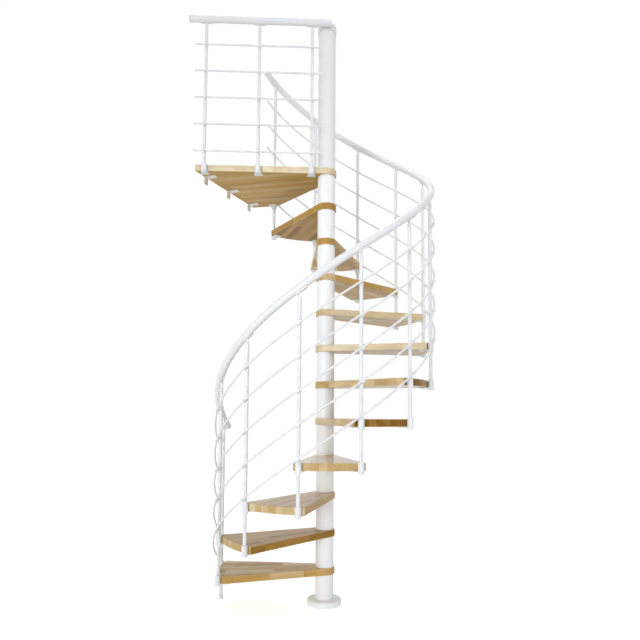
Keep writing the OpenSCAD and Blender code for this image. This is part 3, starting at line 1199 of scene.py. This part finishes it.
@dataclass(frozen=True)
class Screw:
    """A small screw with a hexagonal socket; its head looks along Z and sits on zero."""

    drive: Drive
    head_radius: float
    head_height: float
    socket_radius: float
    socket_depth: float
    socket_sides: int = 6
    grub_out: float = 0.0003
    sides: int = 16
    rim: float = 0.0006
    rim_steps: int = 2

    def build(self, name: str, places: Iterable[Matrix], finish: Material, slot: Slot) -> None:
        """Models one screw, copies it to every place and dresses the copies.

        Args:
            name: The name of the joined screws.
            places: Where the screws go.
            finish: Their material.
            slot: The record's slot for that finish.
        """
        top = self.head_height if self.drive is Drive.BUTTON else self.grub_out
        piece = cylinder("screw_pattern", self.sides, self.head_radius, self.head_height, top)
        with editing(piece, Part.FACE, lambda face: face.normal.z > FACING):
            bpy.ops.mesh.bevel(offset=self.rim, segments=self.rim_steps)
        depth = self.socket_depth
        cutter = cylinder("socket_cutter", self.socket_sides, self.socket_radius, 2 * depth, top + depth)
        pick(piece)
        apply_modifier(piece, "BOOLEAN", operation="DIFFERENCE", object=cutter, solver="EXACT")
        bpy.data.objects.remove(cutter)
        bpy.ops.object.shade_smooth_by_angle(angle=SMOOTH_TURN)
        finish_piece(repeat(piece, places, name), finish, slot)


@dataclass
class Fasteners:
    """All screws that show on the stair."""

    plan: StairPlan
    wood_screw: Screw = Screw(Drive.BUTTON, 0.0042, 0.0022, 0.0018, 0.0014)
    saddle_screw: Screw = Screw(Drive.BUTTON, 0.0036, 0.0018, 0.0016, 0.0012)
    grub: Screw = Screw(Drive.GRUB, 0.0034, 0.0015, 0.0019, 0.0012)
    clamp_spot: float = 0.044
    clamp_spread: float = 0.013
    saddle_spread: float = 0.024
    bracket_shares: tuple[float, ...] = (0.165, 0.535, 0.915)
    bracket_thickness: float = 0.005
    bracket_spots: tuple[float, ...] = (0.032, 0.062)
    foot_spot: float = 0.023
    foot_turn: float = 70.0

    def build(self, zinc: Material, black: Material, paint: Material) -> None:
        """Models and dresses the screws.

        Args:
            zinc: The plated screws' material.
            black: The foot screw's material.
            paint: The rod holders' screws' material.
        """
        plan = self.plan
        under_plate = plan.thickness + plan.plate_thickness
        under_saddle = plan.rail_radius + plan.saddle_thickness
        clamps = self._pairs(plan.clamps(), self.clamp_spot, self.clamp_spread, under_plate)
        saddles = self._pairs(plan.saddles(), 0.0, self.saddle_spread, under_saddle)
        holders = [place @ OUT for place in plan.holders()]
        self.wood_screw.build("clamp_screws", clamps, zinc, Slot.ZINC)
        self.saddle_screw.build("saddle_screws", saddles, zinc, Slot.ZINC)
        self.wood_screw.build("bracket_screws", self._bracket_places(), zinc, Slot.ZINC)
        self.grub.build("rod_holder_screws", holders, paint, Slot.PAINT)
        self.grub.build("foot_screw", [self._foot_place()], black, Slot.ZINC)

    @staticmethod
    def _pairs(frames: list[Matrix], inward: float, spread: float, under: float) -> list[Matrix]:
        """Returns two places under each frame for screws that look down."""
        sides = (-spread, spread)
        return [frame @ moved(-inward, side, -under) @ DOWN for frame in frames for side in sides]

    def _bracket_places(self) -> list[Matrix]:
        """Lists two places under every wall bracket's upper leg.

        Returns:
            The places.
        """
        plan = self.plan
        front, back = plan.wall_edge
        run = back - front
        turn = turned(math.degrees(math.atan2(run.y, run.x)) + 90.0)
        under = plan.landing_z - plan.thickness - self.bracket_thickness
        places = []
        for share in self.bracket_shares:
            seat = moved(*(front + share * run).xy, under) @ turn
            places += [seat @ moved(-spot, 0.0, 0.0) @ DOWN for spot in self.bracket_spots]
        return places

    def _foot_place(self) -> Matrix:
        """Returns the place of the set screw over the lowest baluster's foot."""
        side = turned(self.foot_turn) @ moved(self.plan.baluster_radius, 0.0, 0.0)
        return self.plan.at_baluster(0) @ moved(0.0, 0.0, self.foot_spot) @ side @ OUT


# Studio


@dataclass(frozen=True)
class Lamp:
    """A soft square lamp."""

    name: str
    place: Place
    target: Place
    size: float
    power: float
    spread: float = 180.0

    def build(self) -> None:
        """Hangs the lamp and points it."""
        data = bpy.data.lights.new(self.name, "AREA")
        data.size = self.size
        data.energy = self.power
        data.spread = math.radians(self.spread)
        lamp = bpy.data.objects.new(self.name, data)
        lamp.location = self.place
        lamp.rotation_euler = (Vector(self.target) - Vector(self.place)).to_track_quat("-Z", "Y").to_euler()
        bpy.context.scene.collection.objects.link(lamp)


@dataclass(frozen=True)
class Studio:
    """White studio: floor, soft lamps and a white surround."""

    floor_half: float = 40.0
    floor_colour: Colour = (0.82, 0.82, 0.82)
    floor_shade: float = 0.985
    floor_clouds: float = 3.0
    floor_roughness: float = 0.9
    floor_gloss: float = 0.1
    floor_lift: float = 0.62
    mirrored_lift: float = 0.27
    bounce: float = 0.29
    surround: float = 0.5
    lamps: tuple[Lamp, ...] = (
        Lamp("key", (-4.6, -9.8, 2.4), (0.0, 0.0, 1.55), 4.0, 28.5, 34.0),
        Lamp("fill", (3.4, -3.4, 4.8), (0.0, 0.0, 1.6), 3.0, 40.0),
        Lamp("top", (-0.6, 1.2, 6.2), (0.0, 0.0, 1.6), 3.0, 46.0),
    )

    def build(self) -> None:
        """Builds the floor, the lamps and the surround."""
        bpy.context.scene.view_settings.view_transform = "Standard"
        self._floor()
        self._surround()
        for lamp in self.lamps:
            lamp.build()

    @staticmethod
    def _shown(graph: Graph, straight: float, mirrored: float) -> NodeSocket:
        """Works out the glow that only shows to the eye, straight, mirrored or through glass.

        Args:
            graph: The graph that the nodes go into.
            straight: The glow that is seen straight.
            mirrored: The glow that is seen in gloss or through glass.

        Returns:
            The glow's socket.
        """
        path = graph.add("LightPath").outputs
        bent = graph.math("MAXIMUM", path["Is Glossy Ray"], path["Is Transmission Ray"])
        return graph.plus(graph.times(path["Is Camera Ray"], straight), graph.times(bent, mirrored))

    def _floor(self) -> None:
        """Lays a pale floor that shows white but keeps the stair's shadow."""
        deselect()
        bpy.ops.mesh.primitive_plane_add(size=2 * self.floor_half)
        floor = take_new("studio_floor")
        material, graph, shader = new_material("pale_floor")
        cloud = graph.noise(graph.object_place(), detail=4.0, roughness=0.55, scale=self.floor_clouds)
        shade = tuple(self.floor_shade * value for value in self.floor_colour)
        seen = self._shown(graph, self.floor_lift - self.bounce, self.mirrored_lift - self.bounce)
        feeds = {
            "Base Color": graph.blend(cloud, self.floor_colour, shade),
            "Roughness": self.floor_roughness,
            "Specular IOR Level": self.floor_gloss,
            "Emission Color": WHITE,
            "Emission Strength": graph.plus(seen, self.bounce),
        }
        graph.feed(shader, feeds)
        floor.data.materials.append(material)

    def _surround(self) -> None:
        """Wraps the studio in white that lights the stair softly."""
        world = bpy.data.worlds.new("white_surround")
        bpy.context.scene.world = world
        world.use_nodes = True
        graph = Graph(world.node_tree)
        rest = 1.0 - self.surround
        glow = graph.plus(self._shown(graph, rest, rest), self.surround)
        graph.feed(world.node_tree.nodes["Background"], {"Color": WHITE, "Strength": glow})


@dataclass(frozen=True)
class PhotoCamera:
    """Camera at the photograph's viewpoint."""

    frame_px: float = 640.0
    focal_px: float = 570.68
    centre_px: float = 374.73
    place: Place = (0.0, -3.4767, 1.1218)
    yaw: float = 0.5457
    pitch: float = 3.9868
    roll: float = 0.3583
    sensor: float = 36.0
    far: float = 200.0

    def build(self) -> None:
        """Sets up the scene's camera."""
        data = bpy.data.cameras.new("photo_camera")
        data.sensor_width = self.sensor
        data.lens = self.focal_px / self.frame_px * self.sensor
        data.shift_y = (self.centre_px - self.frame_px / 2) / self.frame_px
        data.clip_end = self.far
        camera = bpy.data.objects.new("photo_camera", data)
        aim = turned(self.yaw) @ turned(90.0 + self.pitch, "X") @ turned(self.roll)
        camera.matrix_world = moved(*self.place) @ aim
        bpy.context.scene.collection.objects.link(camera)
        bpy.context.scene.camera = camera


# The whole stair


@dataclass
class Staircase:
    """The dressed stair: its plan, its finishes and its pieces."""

    frame: dict
    plan: StairPlan = field(default_factory=StairPlan)
    zinc_nodes: tuple[str, ...] = ("central_pole", "wall_brackets")
    # Solids that take the coat painted lighter, as painted light
    painted_lighter_nodes: tuple[str, ...] = ("base_flange", "column_spacers")
    bracket_ease: float = 0.0012
    eased_paint: tuple[tuple[str, float], ...] = (
        ("base_flange", 0.0015),
        ("column_spacers", 0.0008),
        ("newel_post", 0.0008),
        ("post_cap", 0.0012),
        ("baluster_clamps", 0.0008),
        ("floor_foot", 0.0008),
        ("rail_saddles", 0.0007),
        ("landing_saddles", 0.0007),
        ("rail_end_caps", 0.0012),
        ("landing_end_caps", 0.0012),
    )
    landing_staves: float = 168.0
    # Seed, flat tone, flat spread, edge tone, arc tone and side spread of each step; the face tones hold
    # painted light and shade as well as the wood's tone, such as the dark arcs of the steps on the side
    # away from the key lamp
    stave_tones_and_shades: tuple[StaveToneAndShade, ...] = (
        StaveToneAndShade(21, 0.52, 0.38, 0.56, 0.50, 0.30),
        StaveToneAndShade(2, 0.20, 0.34, 0.08, 0.66, 0.20),
        StaveToneAndShade(3, 0.42, 0.30, 0.30, 0.82, 0.16),
        StaveToneAndShade(4, 0.66, 0.20, 0.50, 0.73, 0.07),
        StaveToneAndShade(5, 0.50, 0.25, 0.82, 0.02, 0.12),
        StaveToneAndShade(6, 0.50, 0.25, 0.76, 0.05, 0.12),
        StaveToneAndShade(7, 0.42, 0.20, 0.93, 0.05, 0.10),
        StaveToneAndShade(8, 0.70, 0.22, 0.76, 0.10, 0.12),
        StaveToneAndShade(9, 0.55, 0.25, 0.62, 0.30, 0.12),
        StaveToneAndShade(10, 0.72, 0.24, 0.45, 0.30, 0.12),
        StaveToneAndShade(11, 0.30, 0.28, 0.34, 0.30, 0.10),
        StaveToneAndShade(12, 0.56, 0.14, 1.00, 0.40, 0.10),
    )

    def build(self) -> None:
        """Builds every piece and dresses the solids that stay."""
        effects = Effects()
        wood = LacqueredBeech().material(effects)
        paint = RAIL_COAT.material(effects)
        column = COLUMN_COAT_PAINTED_LIGHTER.material(effects)
        zinc = ZINC_PLATE.material(effects)
        black = BLACK_STEEL.material(effects)
        self._dress_solids(paint, column, zinc)
        self._steps(wood)
        for node, ease in self.eased_paint:
            # The column and its base take the coat painted lighter, which stands in for light
            coat = column if node in self.painted_lighter_nodes else paint
            EasedSolid(node, ease).build(self.frame, coat, Slot.PAINT)
        EasedSolid("wall_brackets", self.bracket_ease).build(self.frame, zinc, Slot.ZINC)
        Balustrade(self.plan).build(paint)
        BalusterPlugs(self.plan).build(paint)
        Fasteners(self.plan).build(zinc, black, paint)

    def _dress_solids(self, paint: Material, column: Material, zinc: Material) -> None:
        """Gives every solid its finish.

        Args:
            paint: The rails' paint.
            column: The same white paint made lighter, as painted light on the column and its base.
            zinc: The zinc's material.
        """
        finishes = dict.fromkeys(self.frame["nodes"], paint)
        finishes.update(dict.fromkeys(self.painted_lighter_nodes, column))
        finishes.update(dict.fromkeys(self.zinc_nodes, zinc))
        for name, node in self.frame["nodes"].items():
            node.data.materials.clear()
            node.data.materials.append(finishes[name])

    def _steps(self, wood: Material) -> None:
        """Models the treads and the landing.

        Args:
            wood: The wood's material.
        """
        numbers = range(1, self.plan.tread_count + 1)
        names = [f"tread_{number:02d}" for number in numbers] + ["landing"]
        turns = [self.plan.baluster_angle(number - 0.5) for number in numbers] + [self.landing_staves]
        for name, turn, look in zip(names, turns, self.stave_tones_and_shades):
            WoodenStep(name, turn, look).build(self.frame, wood)


def main() -> None:
    """Builds the stair, the studio and the camera."""
    logging.basicConfig(level=logging.INFO, format="%(name)s: %(message)s")
    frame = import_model()
    Staircase(frame).build()
    Studio().build()
    PhotoCamera().build()
    deselect()


if __name__ == "__main__":
    main()
